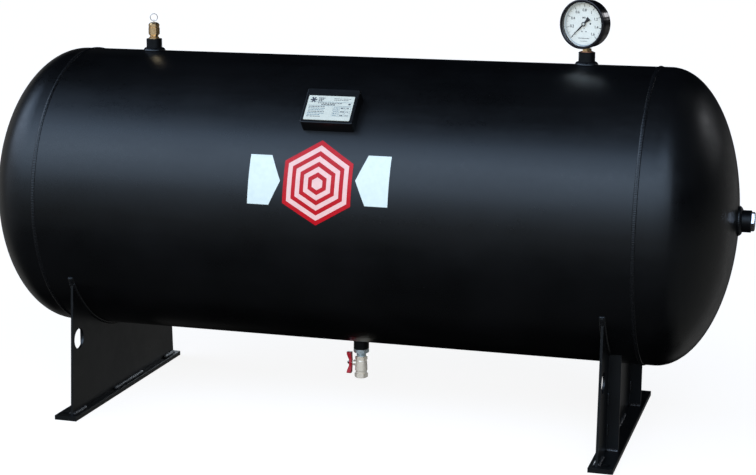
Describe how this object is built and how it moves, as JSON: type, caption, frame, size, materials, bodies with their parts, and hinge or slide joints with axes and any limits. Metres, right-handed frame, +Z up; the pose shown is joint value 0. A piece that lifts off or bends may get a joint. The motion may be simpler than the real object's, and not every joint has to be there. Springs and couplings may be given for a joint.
{
  "type": "air receiver tank",
  "caption": "Horizontal welded compressed-air receiver on plate legs, with dial pressure gauge, ring-pull relief valve, ball drain valve, plugged end port and stand-off name plate.",
  "frame": {"origin": "on the ground, midway between the four anchor holes", "axes": "+X along the tank towards the gauge and the plugged end port, +Z up, -Y towards the name plate"},
  "size_m": [1.6245, 0.6136, 0.9035],
  "materials": {
    "black_paint": "semi-gloss",
    "weld_paint": "semi-gloss over weld ripple",
    "zinc_plate": "bright zinc",
    "galvanised": "galvanised",
    "nickel_plate": "satin nickel",
    "brass": "machined",
    "bronze": "drawn",
    "copper": "satin",
    "spring_steel": "drawn wire",
    "red_paint": "gloss",
    "gauge_black": "gloss",
    "dial_white": "matt",
    "pointer_black": "matt",
    "clear_glass": "clear",
    "white_ptfe": "matt",
    "seal_rubber": "matt",
    "plate_white": "printed"
  },
  "bodies": {
    "vessel": {"shell": "black_paint", "left_head": "black_paint", "right_head": "black_paint", "left_seam_weld": "weld_paint", "right_seam_weld": "weld_paint", "long_seam_weld": "weld_paint", "relief_boss": "black_paint", "relief_boss_weld": "weld_paint", "gauge_boss": "black_paint", "gauge_boss_weld": "weld_paint", "drain_boss": "black_paint", "drain_boss_weld": "weld_paint", "end_boss": "black_paint", "end_boss_weld": "weld_paint", "end_plug": "zinc_plate", "end_plug_washer": "seal_rubber", "left_leg_plate": "black_paint", "left_leg_ribs": "black_paint", "left_foot_bar": "black_paint", "left_leg_welds": "weld_paint", "right_leg_plate": "black_paint", "right_leg_ribs": "black_paint", "right_foot_bar": "black_paint", "right_leg_welds": "weld_paint", "nameplate_bracket": "black_paint", "data_plate": "plate_white", "relief_body": "brass", "relief_cap": "brass", "relief_spring": "spring_steel", "gauge_case": "gauge_black", "gauge_bezel": "gauge_black", "gauge_glass": "clear_glass", "gauge_dial": "dial_white", "gauge_movement": "brass", "gauge_bourdon_tube": "bronze", "gauge_socket": "brass", "gauge_washer": "copper", "drain_nipple": "galvanised", "valve_body": "nickel_plate", "valve_end": "nickel_plate", "valve_seats": "white_ptfe", "valve_packing": "white_ptfe", "valve_gland": "nickel_plate"},
    "pointer": {"gauge_pointer": "pointer_black", "gauge_spindle": "brass"},
    "sector": {"gauge_sector": "brass"},
    "link": {"gauge_link": "brass"},
    "relief_lifter": {"relief_stem": "spring_steel", "relief_disc": "brass", "relief_seal": "seal_rubber"},
    "pull_ring": {"relief_ring": "spring_steel"},
    "drain_lever": {"valve_handle": "red_paint", "valve_stem": "nickel_plate", "valve_ball": "nickel_plate", "valve_handle_nut": "zinc_plate"}
  },
  "joints": [
    {"name": "pointer_turn", "type": "hinge", "parent": "vessel", "child": "pointer", "pos_m": [0.477, 0, 0.8535], "axis": [0.309, 0.9511, 0], "range_deg": [0, 270], "stiffness_Nm_per_rad": 0.001, "springref_deg": -17.19},
    {"name": "sector_turn", "type": "hinge", "parent": "vessel", "child": "sector", "pos_m": [0.477, 0, 0.8314], "axis": [0.309, 0.9511, 0], "range_deg": [-27, 0]},
    {"name": "link_swing", "type": "hinge", "parent": "sector", "child": "link", "pos_m": [0.4844, -0.0024, 0.82953], "axis": [0.309, 0.9511, 0], "range_deg": [0, 27]},
    {"name": "relief_lift", "type": "slide", "parent": "vessel", "child": "relief_lifter", "axis": [0, 0, 1], "range_m": [0, 0.003], "stiffness_N_per_m": 1500, "springref_m": -0.01, "deforming": ["relief_spring"]},
    {"name": "ring_swing", "type": "hinge", "parent": "relief_lifter", "child": "pull_ring", "pos_m": [-0.477, 0, 0.834], "axis": [0.9397, 0.342, 0], "range_deg": [-90, 90]},
    {"name": "drain_turn", "type": "hinge", "parent": "vessel", "child": "drain_lever", "pos_m": [0, 0, 0.1005], "axis": [-1, 0, 0], "range_deg": [0, 90]}
  ],
  "couplings": [
    {"joint": "sector_turn", "follows": "pointer_turn", "ratio": -0.1},
    {"joint": "link_swing", "follows": "pointer_turn", "ratio": 0.1}
  ]
}
